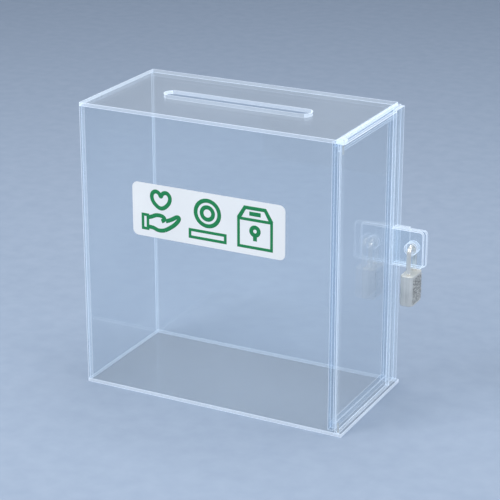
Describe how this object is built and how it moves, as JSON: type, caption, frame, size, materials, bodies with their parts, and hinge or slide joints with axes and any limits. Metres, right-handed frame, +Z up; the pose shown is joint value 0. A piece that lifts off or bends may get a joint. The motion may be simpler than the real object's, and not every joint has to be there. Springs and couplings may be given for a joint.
{
  "type": "donation box",
  "caption": "Clear acrylic collecting box with a top slot, a side door held by a padlocked hasp, and a label on the front.",
  "frame": {"origin": "centre of the base panel's underside", "axes": "+Z up, +X towards the door end, front wall with the label at -Y"},
  "size_m": [0.2671, 0.1202, 0.25],
  "materials": {
    "clear_acrylic": "polished faces, sawn and flame-polished edges",
    "label_white": "semi-matt vinyl",
    "case_metal": "satin plated die casting",
    "shackle_steel": "bright plated wire",
    "pivot_steel": "plain steel pin",
    "lock_brass": "turned brass",
    "spring_steel": "drawn wire"
  },
  "bodies": {
    "box": {"bottom_panel": "clear_acrylic", "front_panel": "clear_acrylic", "back_panel": "clear_acrylic", "left_end_panel": "clear_acrylic", "top_panel": "clear_acrylic", "head_rail": "clear_acrylic", "front_frame_bar": "clear_acrylic", "back_frame_bar": "clear_acrylic", "bottom_frame_bar": "clear_acrylic", "top_frame_bar": "clear_acrylic", "closing_strip": "clear_acrylic", "pivot_ear": "clear_acrylic", "fixed_hasp_tab": "clear_acrylic", "hasp_doubler": "clear_acrylic", "label_sticker": "label_white"},
    "door": {"door_panel": "clear_acrylic", "door_hasp_tab": "clear_acrylic", "top_pivot_pin": "pivot_steel", "bottom_pivot_pin": "pivot_steel"},
    "shackle": {"padlock_shackle": "shackle_steel"},
    "lock_case": {"padlock_case": "case_metal", "core_retaining_pin": "pivot_steel", "shackle_stay_pin": "pivot_steel", "driver_pins": "lock_brass", "pin_springs": "spring_steel", "chamber_plugs": "case_metal", "bolt_spring": "spring_steel"},
    "lock_core": {"padlock_core": "lock_brass", "key_pins": "lock_brass"},
    "lock_bolt": {"locking_bolt": "lock_brass"}
  },
  "joints": [
    {"name": "door_hinge", "type": "hinge", "parent": "box", "child": "door", "pos_m": [0.1163, -0.058, 0], "axis": [0, 0, -1], "range_deg": [0, 0.6]},
    {"name": "padlock_swing", "type": "hinge", "parent": "box", "child": "shackle", "pos_m": [0.135, 0.043, 0.132], "axis": [0, -1, 0], "range_deg": [-8, 90]},
    {"name": "case_drop", "type": "slide", "parent": "shackle", "child": "lock_case", "axis": [0, 0, -1], "range_m": [0, 0.007]},
    {"name": "core_turn", "type": "hinge", "parent": "lock_case", "child": "lock_core", "pos_m": [0.135, 0.043, 0], "axis": [0, 0, 1], "range_deg": [0, 90]},
    {"name": "bolt_slide", "type": "slide", "parent": "lock_case", "child": "lock_bolt", "axis": [0, -1, 0], "range_m": [0, 0.001]}
  ],
  "couplings": [
    {"joint": "core_turn", "follows": "bolt_slide", "rad_per_m": 1570}
  ]
}
